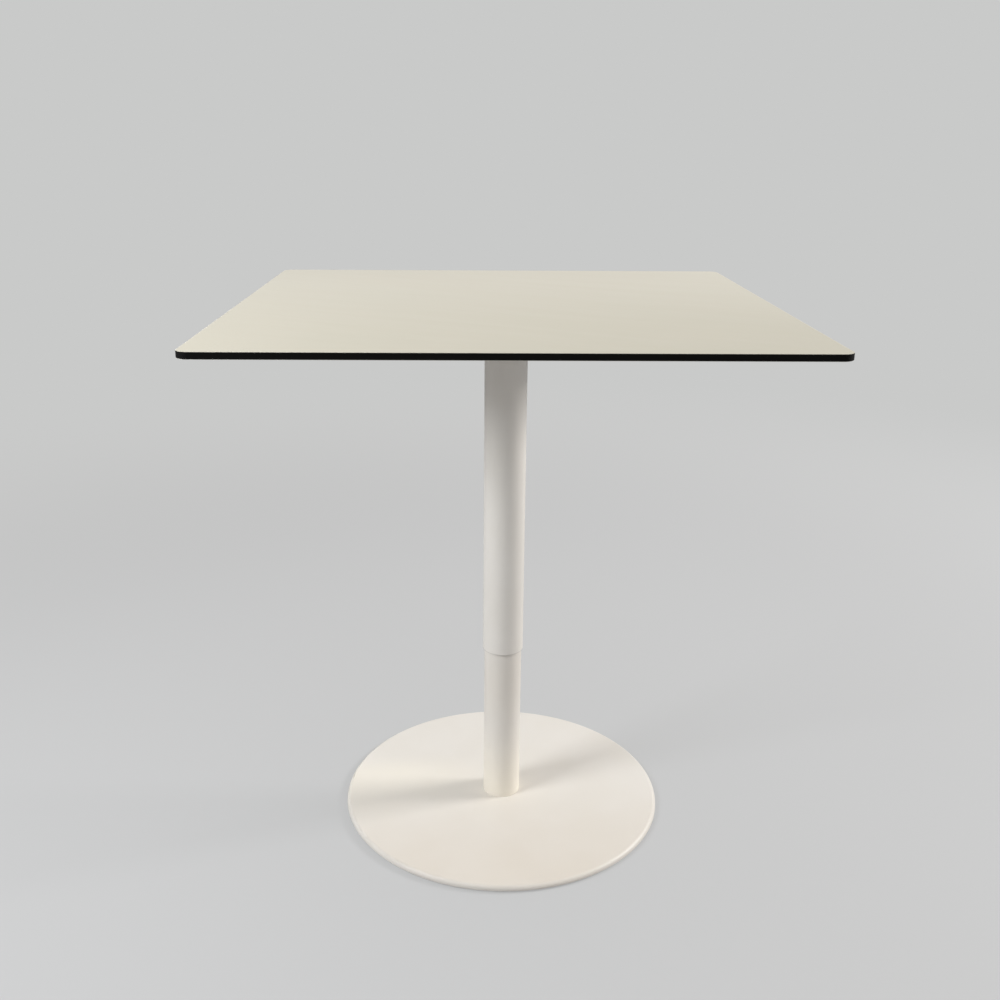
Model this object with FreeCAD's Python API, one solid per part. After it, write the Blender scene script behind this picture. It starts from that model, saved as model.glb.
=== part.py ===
import FreeCAD, Part
import math
import os

from FreeCAD import Vector

# Height-adjustable pedestal table.
# A square compact-laminate board is screwed to a steel top plate that is welded to the upper column tube. That
# tube slides over a slimmer lower tube, which stands on a round steel base plate. A lockable gas spring inside
# the column carries the board, and a lever under the board presses the spring's release pin.
# Millimetres, +Z up, +X towards the lever, origin on the floor under the column's axis.

# Height of the board's upper face as photographed, and the stroke that is left each way
table_height = 750.0
travel_down = 30.0
travel_up = 290.0
stroke_margin = 5.0

# Clearances: sliding fits, pieces seated in one another, holes for bolts, faces that only come close
running_clearance = 0.05
seat_clearance = 0.05
bolt_clearance = 0.3
free_gap = 0.3

# Board: a dark compact core between two thin decor sheets, with threaded inserts in its underside
board_side = 700.0
board_thickness = 8.0
board_corner_radius = 15.0
board_edge_bevel = 0.3
decor_thickness = 0.3
insert_diameter = 8.0
insert_cover = 1.8

# Top plate and the hexagon screws that hold the board to it
plate_side = 300.0
plate_thickness = 5.0
plate_corner_radius = 20.0
plate_screw_margin = 20.0
plate_screw_diameter = 6.0
plate_screw_head_width = 10.0
plate_screw_head_height = 4.0

# Column tubes, from the inside out
lower_tube_diameter = 54.0
lower_tube_wall = 2.0
tube_gap = 0.5
upper_tube_wall = 1.5
guide_overlap = 84.0
tube_rim_bevel = 0.4
weld_leg = 3.0

# Split bush in the mouth of the upper tube
bush_length = 60.0
bush_recess = 0.5
bush_inset = 1.0
bush_slit = 1.2

# Guide cap on the top end of the lower tube, held by set screws
cap_head_length = 40.0
cap_spigot_length = 25.0
cap_headroom = 6.0
cap_screw_diameter = 4.0
cap_screw_length = 6.0

# Base plate, its stick-on glides and the countersunk screws into the column's foot
base_diameter = 468.0
base_thickness = 8.0
base_edge_radius = 4.0
glide_count = 5
glide_inset = 24.0
glide_diameter = 25.0
glide_height = 2.0
foot_screw_count = 3
foot_screw_edge = 7.0
foot_screw_diameter = 8.0
foot_screw_head_diameter = 16.0
foot_screw_length = 25.0
foot_screw_socket = 5.0
foot_screw_socket_depth = 3.0
screw_head_recess = 0.2

# Foot plug welded into the lower tube, with a recess below for the nut on the gas spring's stud
foot_plug_height = 26.0
foot_recess_margin = 2.0
stud_diameter = 10.0
stud_end_beyond_nut = 2.0
stud_end_gap = 4.0
nut_width = 17.0
nut_height = 6.0

# Gas spring
cylinder_diameter = 28.0
cylinder_wall = 1.5
cylinder_floor = 16.0
cylinder_lip = 2.0
cylinder_lip_overhang = 3.0
rod_diameter = 10.0
rod_guide_length = 20.0
rod_seal_length = 8.0
buffer_height = 10.0
piston_length = 20.0
piston_clearance = 0.1
separator_length = 18.0
seal_groove_width = 4.0
seal_groove_depth = 2.0
pin_diameter = 3.0
pin_clearance = 0.1
pin_proud = 5.0
tappet_diameter = 7.0
tappet_height = 3.0
tappet_stem_length = 2.0

# Anti-twist rod beside the gas spring
twist_rod_diameter = 6.0
twist_rod_socket = 12.0

# Release head in the top of the upper tube, with a slot for the lever
rod_engagement = 14.0
lever_headroom = 8.7
lever_nose_room = 2.0
lever_notch_margin = 1.0

# Lever: a bent steel arm with a moulded handle on its tongue
lever_thickness = 6.0
lever_height = 12.0
pivot_offset = 18.0
pivot_diameter = 6.0
lever_straight = 6.0
lever_bend_run = 24.0
lever_bend_radius = 14.0
lever_drop = 20.0
lever_shoulder = 14.0
tongue_height = 8.0
tongue_length = 60.0
handle_length = 130.0
handle_root_width = 16.0
handle_tip_width = 28.0
handle_thickness = 16.0
handle_root_radius = 4.0
handle_tip_radius = 12.0
handle_edge_radius = 3.0
handle_pin_diameter = 3.0

# Radii that follow from the sizes above
lower_outer = lower_tube_diameter / 2
lower_inner = lower_outer - lower_tube_wall
upper_inner = lower_outer + tube_gap
upper_outer = upper_inner + upper_tube_wall
bush_seat = upper_inner + bush_recess
cylinder_outer = cylinder_diameter / 2
cylinder_inner = cylinder_outer - cylinder_wall
lip_inner = cylinder_inner - cylinder_lip_overhang
lip_outer = cylinder_outer - cylinder_lip
rod_outer = rod_diameter / 2
rod_bore = pin_diameter / 2 + pin_clearance
guide_outer = cylinder_inner - seat_clearance
piston_outer = cylinder_inner - piston_clearance
head_outer = upper_inner - seat_clearance
twist_rod_outer = twist_rod_diameter / 2

# Heights that follow, from the board downwards
board_under = table_height - board_thickness
core_under = board_under + decor_thickness
core_top = table_height - decor_thickness
insert_top = core_top - insert_cover
plate_under = board_under - plate_thickness
slot_floor = plate_under - lever_headroom - lever_height - free_gap - pin_proud
pin_top = slot_floor + pin_proud
lever_axis = pin_top + free_gap + lever_height / 2
head_bottom = slot_floor - rod_engagement
rod_nut_bottom = head_bottom - nut_height
buffer_top = rod_nut_bottom - travel_down - free_gap
cylinder_top = buffer_top - buffer_height
rod_guide_top = cylinder_top - cylinder_lip
rod_guide_bottom = rod_guide_top - rod_guide_length
rod_seal_bottom = rod_guide_bottom - rod_seal_length
piston_top = rod_seal_bottom - travel_up - stroke_margin
piston_bottom = piston_top - piston_length
cap_top = head_bottom - travel_down - cap_headroom
lower_tube_top = cap_top - cap_head_length
cap_bottom = lower_tube_top - cap_spigot_length
cap_screw_height = lower_tube_top - cap_spigot_length / 2
twist_rod_bottom = cap_bottom - travel_up - stroke_margin
upper_tube_bottom = lower_tube_top - guide_overlap - travel_up
bush_bottom = upper_tube_bottom + bush_inset
bush_top = bush_bottom + bush_length

# Heights that follow, from the floor upwards
base_under = glide_height
base_top = base_under + base_thickness
foot_plug_top = base_top + foot_plug_height
stud_bottom = base_top + stud_end_gap
stud_nut_bottom = stud_bottom + stud_end_beyond_nut
stud_nut_top = stud_nut_bottom + nut_height
foot_screw_under = base_under + screw_head_recess
foot_screw_top = foot_screw_under + foot_screw_length
bore_floor = foot_plug_top + cylinder_floor
separator_bottom = (bore_floor + piston_bottom - travel_down - separator_length) / 2
separator_top = separator_bottom + separator_length


def around(count, radius):
    """Points spread evenly on a circle about the column's axis, from +X round."""
    angles = [2 * math.pi * i / count for i in range(count)]
    return [Vector(radius * math.cos(a), radius * math.sin(a), 0) for a in angles]


def rod(radius, low, high, place=Vector(0, 0, 0)):
    """An upright cylinder between two heights."""
    return Part.makeCylinder(radius, high - low, Vector(place.x, place.y, low))


def ring(outer, inner, low, high):
    """An upright tube between two heights."""
    return rod(outer, low, high).cut(rod(inner, low, high))


def turned(profile):
    """A solid turned about the column's axis from (radius, height) points."""
    points = [Vector(r, 0, z) for r, z in profile]
    face = Part.Face(Part.makePolygon(points + points[:1]))
    return face.revolve(Vector(0, 0, 0), Vector(0, 0, 1), 360)


def cross_rod(radius, x, z, half_length):
    """A cylinder along Y, centred on the XZ plane."""
    return Part.makeCylinder(radius, 2 * half_length, Vector(x, -half_length, z), Vector(0, 1, 0))


def hexagon(width, low, high, place=Vector(0, 0, 0)):
    """An upright hexagonal prism, given its width across flats."""
    points = [place + p + Vector(0, 0, low) for p in around(6, width / math.sqrt(3))]
    return Part.Face(Part.makePolygon(points + points[:1])).extrude(Vector(0, 0, high - low))


def rounded_outline(corners):
    """A closed wire through (point, radius) corners, with a tangent arc at each corner that has a radius."""
    edges = []
    ends = []
    count = len(corners)
    for i, (point, radius) in enumerate(corners):
        before = (corners[i - 1][0] - point).normalize()
        after = (corners[(i + 1) % count][0] - point).normalize()
        half_angle = before.getAngle(after) / 2
        start = point + before * (radius / math.tan(half_angle))
        stop = point + after * (radius / math.tan(half_angle))
        ends.append((start, stop))
        if radius > 0:
            inward = (before + after).normalize()
            middle = point + inward * (radius / math.sin(half_angle) - radius)
            edges.append(Part.Arc(start, middle, stop).toShape())
    for i, (_, leave) in enumerate(ends):
        arrive = ends[(i + 1) % count][0]
        edges.append(Part.LineSegment(leave, arrive).toShape())
    return Part.Wire(Part.sortEdges(edges)[0])


def rounded_square(side, radius, low, high):
    """An upright square prism with rounded corners, centred on the column's axis."""
    half = side / 2
    signs = ((-1, -1), (1, -1), (1, 1), (-1, 1))
    corners = [(Vector(sx * half, sy * half, low), radius) for sx, sy in signs]
    return Part.Face(rounded_outline(corners)).extrude(Vector(0, 0, high - low))


def edges_at(solid, heights):
    """The edges of a solid that lie wholly at one of the given heights."""
    def lies_at(edge, height):
        return abs(edge.BoundBox.ZMin - height) < 1e-4 and abs(edge.BoundBox.ZMax - height) < 1e-4

    return [e for e in solid.Edges if any(lies_at(e, h) for h in heights)]


def drilled(solid, radius, low, high, places):
    """The solid with an upright hole at each place."""
    for place in places:
        solid = solid.cut(rod(radius, low, high, place))
    return solid


def each(make, places):
    """Separate copies of one solid at several places, as one compound."""
    return Part.makeCompound([make(place) for place in places])


screw_pitch = plate_side / 2 - plate_screw_margin
plate_screw_places = [Vector(sx * screw_pitch, sy * screw_pitch, 0) for sx in (-1, 1) for sy in (-1, 1)]
foot_screw_places = around(foot_screw_count, lower_inner - foot_screw_edge)
glide_places = around(glide_count, base_diameter / 2 - glide_inset)
twist_rod_place = Vector(-(cylinder_outer + lower_inner) / 2, 0, 0)


# Board

def table_core():
    core = rounded_square(board_side, board_corner_radius, core_under, core_top)
    core = core.makeChamfer(board_edge_bevel, edges_at(core, (core_under, core_top)))
    return drilled(core, insert_diameter / 2 + seat_clearance, core_under, insert_top, plate_screw_places)


def decor_sheet(low):
    side = board_side - 2 * board_edge_bevel
    return rounded_square(side, board_corner_radius - board_edge_bevel, low, low + decor_thickness)


def table_face():
    return decor_sheet(core_top)


def table_backing():
    hole = insert_diameter / 2 + seat_clearance
    return drilled(decor_sheet(board_under), hole, board_under, core_under, plate_screw_places)


def threaded_insert(place):
    body = rod(insert_diameter / 2, core_under, insert_top, place)
    return body.cut(rod(plate_screw_diameter / 2 + seat_clearance, core_under, insert_top, place))


# Top plate and its screws

def top_plate():
    plate = rounded_square(plate_side, plate_corner_radius, plate_under, board_under)
    hole = plate_screw_diameter / 2 + bolt_clearance
    return drilled(plate, hole, plate_under, board_under, plate_screw_places)


def plate_screw(place):
    head = hexagon(plate_screw_head_width, plate_under - plate_screw_head_height, plate_under, place)
    return head.fuse(rod(plate_screw_diameter / 2, plate_under, insert_top - free_gap, place))


# Column

def upper_tube():
    tube = turned([
        (bush_seat, upper_tube_bottom),
        (upper_outer - tube_rim_bevel, upper_tube_bottom),
        (upper_outer, upper_tube_bottom + tube_rim_bevel),
        (upper_outer, plate_under - weld_leg),
        (upper_outer + weld_leg, plate_under),
        (upper_inner, plate_under),
        (upper_inner, bush_top),
        (bush_seat, bush_top),
    ])
    width = lever_thickness + 2 * free_gap + 2 * lever_notch_margin
    notch = Part.makeBox(upper_outer + weld_leg, width, plate_under - slot_floor,
                         Vector(0, -width / 2, slot_floor))
    return tube.cut(notch).cut(pivot_bore(seat_clearance))


def guide_bush():
    outer = bush_seat - seat_clearance
    sleeve = ring(outer, lower_outer + running_clearance, bush_bottom, bush_top)
    slit = Part.makeBox(outer, bush_slit, bush_length, Vector(-outer, -bush_slit / 2, bush_bottom))
    return sleeve.cut(slit)


def lower_tube():
    tube = ring(lower_outer, lower_inner, base_top, lower_tube_top)
    return tube.cut(cross_rod(cap_screw_diameter / 2 + seat_clearance, 0, cap_screw_height, lower_outer))


def cap_screw(side, clearance=0.0):
    """A set screw along Y, sunk just below the lower tube's surface on one side."""
    start = Vector(0, side * (lower_outer - free_gap), cap_screw_height)
    return Part.makeCylinder(cap_screw_diameter / 2 + clearance, cap_screw_length, start, Vector(0, -side, 0))


def guide_cap():
    spigot = lower_inner - seat_clearance
    head = upper_inner - running_clearance
    bore = cylinder_outer + seat_clearance
    cap = turned([
        (bore, cap_bottom),
        (spigot, cap_bottom),
        (spigot, lower_tube_top),
        (head, lower_tube_top),
        (head, cap_top),
        (bore, cap_top),
    ])
    for side in (1, -1):
        cap = cap.cut(cap_screw(side, seat_clearance))
    return drilled(cap, twist_rod_outer + running_clearance, cap_bottom, cap_top, [twist_rod_place])


# Base and foot

def base_plate():
    plate = rod(base_diameter / 2, base_under, base_top)
    plate = plate.makeFillet(base_edge_radius, edges_at(plate, (base_top,)))
    wide = foot_screw_head_diameter / 2 + bolt_clearance
    narrow = foot_screw_diameter / 2 + bolt_clearance
    for place in foot_screw_places:
        plate = plate.cut(Part.makeCone(wide, narrow, wide - narrow, place + Vector(0, 0, base_under)))
    return drilled(plate, narrow, base_under, base_top, foot_screw_places)


def base_glide(place):
    return rod(glide_diameter / 2, 0, glide_height, place)


def foot_screw(place):
    head_radius, shank_radius = foot_screw_head_diameter / 2, foot_screw_diameter / 2
    neck = foot_screw_under + head_radius - shank_radius
    head = Part.makeCone(head_radius, shank_radius, neck - foot_screw_under,
                         place + Vector(0, 0, foot_screw_under))
    socket_top = foot_screw_under + foot_screw_socket_depth
    socket = hexagon(foot_screw_socket, foot_screw_under, socket_top, place)
    return head.fuse(rod(shank_radius, neck, foot_screw_top, place)).cut(socket)


def foot_plug():
    outer = lower_inner - seat_clearance
    recess = nut_width / math.sqrt(3) + foot_recess_margin
    stud_hole = stud_diameter / 2 + bolt_clearance
    plug = turned([
        (recess, base_top),
        (outer, base_top),
        (outer, foot_plug_top),
        (stud_hole, foot_plug_top),
        (stud_hole, stud_nut_top),
        (recess, stud_nut_top),
    ])
    tapped = foot_screw_diameter / 2 + seat_clearance
    return drilled(plug, tapped, base_top, foot_screw_top + free_gap, foot_screw_places)


# Gas spring

def gas_cylinder():
    return turned([
        (0, stud_bottom),
        (stud_diameter / 2, stud_bottom),
        (stud_diameter / 2, foot_plug_top),
        (cylinder_outer, foot_plug_top),
        (cylinder_outer, cylinder_top - cylinder_lip),
        (lip_outer, cylinder_top),
        (lip_inner, cylinder_top),
        (lip_inner, rod_guide_top),
        (cylinder_inner, rod_guide_top),
        (cylinder_inner, bore_floor),
        (0, bore_floor),
    ])


def hexagon_nut(low, thread_diameter):
    nut = hexagon(nut_width, low, low + nut_height)
    return nut.cut(rod(thread_diameter / 2 + seat_clearance, low, low + nut_height))


def stud_nut():
    return hexagon_nut(stud_nut_bottom, stud_diameter)


def rod_nut():
    return hexagon_nut(rod_nut_bottom, rod_diameter)


def gas_rod_guide():
    return ring(guide_outer, rod_outer + running_clearance, rod_guide_bottom, rod_guide_top)


def gas_rod_seal():
    return ring(guide_outer, rod_outer + running_clearance, rod_seal_bottom, rod_guide_bottom)


def stop_buffer():
    return ring(lip_outer, rod_outer + free_gap, cylinder_top, buffer_top)


def gas_rod():
    return ring(rod_outer, rod_bore, piston_bottom, slot_floor)


def grooved_piston(inner, low, high):
    """A piston, turned with a groove half way up for its seal ring."""
    middle, half = (low + high) / 2, seal_groove_width / 2
    groove = piston_outer - seal_groove_depth
    return turned([
        (inner, low),
        (piston_outer, low),
        (piston_outer, middle - half),
        (groove, middle - half),
        (groove, middle + half),
        (piston_outer, middle + half),
        (piston_outer, high),
        (inner, high),
    ])


def seal_ring(low, high):
    """The seal ring in such a groove, which runs on the cylinder's bore."""
    middle, half = (low + high) / 2, seal_groove_width / 2 - seat_clearance
    inner = piston_outer - seal_groove_depth + seat_clearance
    return ring(cylinder_inner - running_clearance, inner, middle - half, middle + half)


def gas_piston():
    return grooved_piston(rod_outer + seat_clearance, piston_bottom, piston_top)


def piston_seal():
    return seal_ring(piston_bottom, piston_top)


def separator_piston():
    return grooved_piston(0, separator_bottom, separator_top)


def separator_seal():
    return seal_ring(separator_bottom, separator_top)


def release_pin():
    return rod(pin_diameter / 2, piston_bottom + tappet_stem_length, pin_top)


def valve_tappet():
    head_top = piston_bottom - free_gap
    stem = pin_diameter / 2
    return turned([
        (0, head_top - tappet_height),
        (tappet_diameter / 2, head_top - tappet_height),
        (tappet_diameter / 2, head_top - tappet_height / 2),
        (stem, head_top),
        (stem, piston_bottom + tappet_stem_length),
        (0, piston_bottom + tappet_stem_length),
    ])


def anti_twist_rod():
    return rod(twist_rod_outer, twist_rod_bottom, head_bottom + twist_rod_socket, twist_rod_place)


# Release head and lever pivot

def pivot_bore(clearance):
    return cross_rod(pivot_diameter / 2 + clearance, pivot_offset, lever_axis, upper_outer)


def lever_pivot_pin():
    half_length = math.sqrt(upper_outer ** 2 - pivot_offset ** 2)
    return cross_rod(pivot_diameter / 2, pivot_offset, lever_axis, half_length)


def release_head():
    head = rod(head_outer, head_bottom, plate_under)
    width = lever_thickness + 2 * free_gap
    back = lever_height / 2 + lever_nose_room
    slot = Part.makeBox(back + head_outer, width, plate_under - slot_floor,
                        Vector(-back, -width / 2, slot_floor))
    head = head.cut(slot).cut(pivot_bore(seat_clearance))
    head = head.cut(rod(rod_outer + seat_clearance, head_bottom, slot_floor))
    socket_top = head_bottom + twist_rod_socket + seat_clearance
    return drilled(head, twist_rod_outer + seat_clearance, head_bottom, socket_top, [twist_rod_place])


# Lever

nose = Vector(0, 0, lever_axis)
bend_start = Vector(upper_outer + weld_leg + lever_straight, 0, lever_axis)
bend_end = bend_start + Vector(lever_bend_run, 0, -lever_drop)
shoulder = bend_end + Vector(lever_shoulder, 0, 0)
tongue_end = shoulder + Vector(tongue_length, 0, 0)


def beside(before, corner, after, distance):
    """The mitre point at a corner of a path in the XZ plane, a distance to the left of both its runs."""
    into = (corner - before).normalize()
    out = (after - corner).normalize()
    left_in = Vector(-into.z, 0, into.x)
    left_out = Vector(-out.z, 0, out.x)
    halfway = (left_in + left_out).normalize()
    return corner + halfway * (distance / halfway.dot(left_in))


def handle_pin_bar(clearance, half_length):
    middle = (shoulder.x + tongue_end.x) / 2
    return cross_rod(handle_pin_diameter / 2 + clearance, middle, shoulder.z, half_length)


def lever_arm():
    half = Vector(0, 0, lever_height / 2)
    narrow = Vector(0, 0, tongue_height / 2)
    back = nose - Vector(lever_height / 2, 0, 0)
    tight, wide = lever_bend_radius - half.z, lever_bend_radius + half.z
    outline = rounded_outline([
        (back + half, half.z / 2),
        (beside(nose, bend_start, bend_end, half.z), wide),
        (beside(bend_start, bend_end, shoulder, half.z), tight),
        (shoulder + half, 0),
        (shoulder + narrow, 0),
        (tongue_end + narrow, narrow.z / 2),
        (tongue_end - narrow, narrow.z / 2),
        (shoulder - narrow, 0),
        (shoulder - half, 0),
        (beside(bend_start, bend_end, shoulder, -half.z), wide),
        (beside(nose, bend_start, bend_end, -half.z), tight),
        (back - half, half.z),
    ])
    outline.translate(Vector(0, -lever_thickness / 2, 0))
    arm = Part.Face(outline).extrude(Vector(0, lever_thickness, 0))
    return arm.cut(pivot_bore(running_clearance)).cut(handle_pin_bar(seat_clearance, lever_thickness))


def lever_handle():
    low, high = shoulder.z - handle_thickness / 2, shoulder.z + handle_thickness / 2
    tip_x = shoulder.x + handle_length
    outline = rounded_outline([
        (Vector(shoulder.x, -handle_root_width / 2, low), handle_root_radius),
        (Vector(tip_x, -handle_tip_width / 2, low), handle_tip_radius),
        (Vector(tip_x, handle_tip_width / 2, low), handle_tip_radius),
        (Vector(shoulder.x, handle_root_width / 2, low), handle_root_radius),
    ])
    grip = Part.Face(outline).extrude(Vector(0, 0, high - low))
    grip = grip.makeFillet(handle_edge_radius, edges_at(grip, (low, high)))
    width = lever_thickness + 2 * seat_clearance
    height = tongue_height + 2 * seat_clearance
    pocket = Part.makeBox(tongue_length + seat_clearance, width, height,
                          Vector(shoulder.x, -width / 2, shoulder.z - height / 2))
    return grip.cut(pocket).cut(handle_pin_bar(seat_clearance, handle_tip_width))


def handle_pin():
    return handle_pin_bar(0, handle_root_width / 2)


nodes = {
    "table_core": table_core(),
    "table_face": table_face(),
    "table_backing": table_backing(),
    "threaded_inserts": each(threaded_insert, plate_screw_places),
    "top_plate": top_plate(),
    "plate_screws": each(plate_screw, plate_screw_places),
    "upper_tube": upper_tube(),
    "guide_bush": guide_bush(),
    "lower_tube": lower_tube(),
    "guide_cap": guide_cap(),
    "cap_screws": each(cap_screw, (1, -1)),
    "base_plate": base_plate(),
    "base_glides": each(base_glide, glide_places),
    "foot_plug": foot_plug(),
    "foot_screws": each(foot_screw, foot_screw_places),
    "gas_cylinder": gas_cylinder(),
    "stud_nut": stud_nut(),
    "gas_rod_guide": gas_rod_guide(),
    "gas_rod_seal": gas_rod_seal(),
    "stop_buffer": stop_buffer(),
    "gas_rod": gas_rod(),
    "rod_nut": rod_nut(),
    "gas_piston": gas_piston(),
    "piston_seal": piston_seal(),
    "separator_piston": separator_piston(),
    "separator_seal": separator_seal(),
    "release_pin": release_pin(),
    "valve_tappet": valve_tappet(),
    "anti_twist_rod": anti_twist_rod(),
    "release_head": release_head(),
    "lever_pivot_pin": lever_pivot_pin(),
    "lever_arm": lever_arm(),
    "lever_handle": lever_handle(),
    "handle_pin": handle_pin(),
}

os.makedirs("parts", exist_ok=True)
for name, shape in nodes.items():
    shape.exportStep(os.path.join("parts", name + ".step"))
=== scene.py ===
import math

import bmesh
import bpy
from mathutils import Matrix, Vector


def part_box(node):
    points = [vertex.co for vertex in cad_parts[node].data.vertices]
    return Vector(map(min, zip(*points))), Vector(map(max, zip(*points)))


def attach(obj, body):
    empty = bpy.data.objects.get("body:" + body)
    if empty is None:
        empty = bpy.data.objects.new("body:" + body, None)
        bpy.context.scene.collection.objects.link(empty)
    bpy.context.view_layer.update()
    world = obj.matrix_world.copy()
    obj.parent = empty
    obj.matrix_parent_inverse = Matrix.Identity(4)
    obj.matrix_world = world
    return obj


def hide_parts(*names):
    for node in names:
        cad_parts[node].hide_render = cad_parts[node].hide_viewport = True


# Dresses the telescoping pedestal table: first the finishes, then the pieces from the board down to the base
# and the release lever, and last the floor, the light and the camera. Lengths are in metres.
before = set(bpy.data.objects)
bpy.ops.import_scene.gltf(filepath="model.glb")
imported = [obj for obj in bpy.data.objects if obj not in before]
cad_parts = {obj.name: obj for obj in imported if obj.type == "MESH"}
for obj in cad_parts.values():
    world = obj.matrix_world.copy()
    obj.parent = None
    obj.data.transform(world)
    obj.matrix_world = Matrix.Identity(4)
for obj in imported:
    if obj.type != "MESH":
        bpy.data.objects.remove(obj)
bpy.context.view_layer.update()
mm = 0.001

# Clearance round pins and inserts, and how far a cutter runs past the face that it opens
fit = 0.05 * mm
past = 1 * mm

# Rounding of the base's upper edge, which its shape and its finish share
base_rim = 6.2 * mm


# Finishes: a value is a socket, and arithmetic on values adds Math nodes

class Value:
    """An output of a node."""

    def __init__(self, nodes, socket):
        self.nodes = nodes
        self.socket = socket

    def math(self, operation, first, second):
        return self.nodes.node("ShaderNodeMath", {"operation": operation}, {0: first, 1: second})

    def __add__(self, other):
        return self.math("ADD", self, other)

    def __sub__(self, other):
        return self.math("SUBTRACT", self, other)

    def __rsub__(self, other):
        return self.math("SUBTRACT", other, self)

    def __mul__(self, other):
        return self.math("MULTIPLY", self, other)

    __radd__ = __add__
    __rmul__ = __mul__


class Nodes:
    """The nodes of a material or of the room around the table."""

    def __init__(self, owner):
        owner.use_nodes = True
        self.tree = owner.node_tree

    def node(self, kind, settings, inputs, output=0):
        made = self.tree.nodes.new(kind)
        for name, setting in settings.items():
            setattr(made, name, setting)
        for name, value in inputs.items():
            self.feed(made.inputs[name], value)
        return Value(self, made.outputs[output])

    def feed(self, socket, value):
        if isinstance(value, Value):
            self.tree.links.new(value.socket, socket)
        else:
            socket.default_value = value


class Finish(Nodes):
    """A material that is written as expressions on values, over the piece's own coordinates in metres."""

    def __init__(self, name):
        self.material = bpy.data.materials.new(name)
        super().__init__(self.material)
        self.shader = self.tree.nodes["Principled BSDF"]
        self.place = self.node("ShaderNodeTexCoord", {}, {}, "Object")

    def along(self, axis):
        return self.node("ShaderNodeSeparateXYZ", {}, {"Vector": self.place}, axis)

    def from_axis(self):
        """Distance from the column's axis."""
        flat = self.node("ShaderNodeVectorMath", {"operation": "MULTIPLY"}, {0: self.place, 1: (1, 1, 0)})
        return self.node("ShaderNodeVectorMath", {"operation": "LENGTH"}, {0: flat}, "Value")

    def stretched(self, scale, turn=0.0):
        """The coordinates turned about Z and then scaled, for marks that run one way."""
        turned = self.node("ShaderNodeMapping", {}, {"Vector": self.place, "Rotation": (0, 0, turn)})
        return self.node("ShaderNodeVectorMath", {"operation": "MULTIPLY"}, {0: turned, 1: scale})

    def noise(self, scale, detail=2.0, place=None):
        """Cloudy variation from 0 to 1 about a half, with features one over scale metres across."""
        inputs = {"Vector": place or self.place, "Scale": scale, "Detail": detail}
        return self.node("ShaderNodeTexNoise", {}, inputs, "Fac")

    def cells(self, scale):
        """Distance to the nearest of many scattered points."""
        inputs = {"Vector": self.place, "Scale": scale}
        return self.node("ShaderNodeTexVoronoi", {}, inputs, "Distance")

    def mask(self, value, low, high):
        """A soft step that is 0 below low and 1 above high."""
        inputs = {"Value": value, "From Min": low, "From Max": high}
        return self.node("ShaderNodeMapRange", {"interpolation_type": "SMOOTHSTEP"}, inputs)

    def blend(self, factor, first, second):
        """One colour passing into another."""
        inputs = {"Factor": factor, 6: first, 7: second}
        return self.node("ShaderNodeMix", {"data_type": "RGBA"}, inputs, 2)

    def relief(self, height, depth):
        """A normal for a height from 0 to 1 that stands depth metres proud."""
        return self.node("ShaderNodeBump", {}, {"Height": height, "Distance": depth, "Strength": 1.0})

    def surface(self, sockets):
        for name, value in sockets.items():
            self.feed(self.shader.inputs[name], value)
        return self.material


# Colours, as linear values
cream = (0.686, 0.655, 0.560, 1)
# The board's front in painted shade
cream_front_shade = (0.576, 0.547, 0.452, 1)
cream_warm = (0.651, 0.603, 0.512, 1)
cream_worn = (0.684, 0.656, 0.575, 1)
core_black = (0.0012, 0.0011, 0.0010, 1)
core_brown = (0.0042, 0.0035, 0.0028, 1)
core_worn = (0.075, 0.068, 0.060, 1)
coat_white = (0.805, 0.772, 0.722, 1)
coat_warm = (0.770, 0.734, 0.672, 1)
# Paler coat used as painted light
coat_painted_light = (0.900, 0.845, 0.740, 1)
# Scuff colour, also used for painted shade
coat_scuff_and_shade = (0.520, 0.495, 0.450, 1)
coat_dust = (0.600, 0.500, 0.380, 1)
zinc_blue = (0.545, 0.570, 0.610, 1)
zinc_yellow = (0.640, 0.620, 0.540, 1)
zinc_dull = (0.300, 0.290, 0.275, 1)
brass_bright = (0.745, 0.560, 0.255, 1)
brass_dull = (0.520, 0.360, 0.150, 1)
cast_pale = (0.640, 0.645, 0.660, 1)
cast_dark = (0.440, 0.445, 0.460, 1)
plastic_black = (0.0135, 0.0135, 0.0145, 1)
plastic_rubbed = (0.052, 0.052, 0.054, 1)
acetal_black = (0.0180, 0.0180, 0.0190, 1)
acetal_swarf = (0.060, 0.060, 0.062, 1)
felt_dark = (0.035, 0.034, 0.033, 1)
felt_pale = (0.110, 0.106, 0.100, 1)
rubber_black = (0.0140, 0.0140, 0.0140, 1)
rubber_bloom = (0.065, 0.063, 0.060, 1)
enamel_black = (0.0075, 0.0075, 0.0080, 1)
enamel_dust = (0.038, 0.037, 0.036, 1)
chrome_bright = (0.780, 0.790, 0.810, 1)
chrome_oiled = (0.640, 0.630, 0.600, 1)


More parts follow.
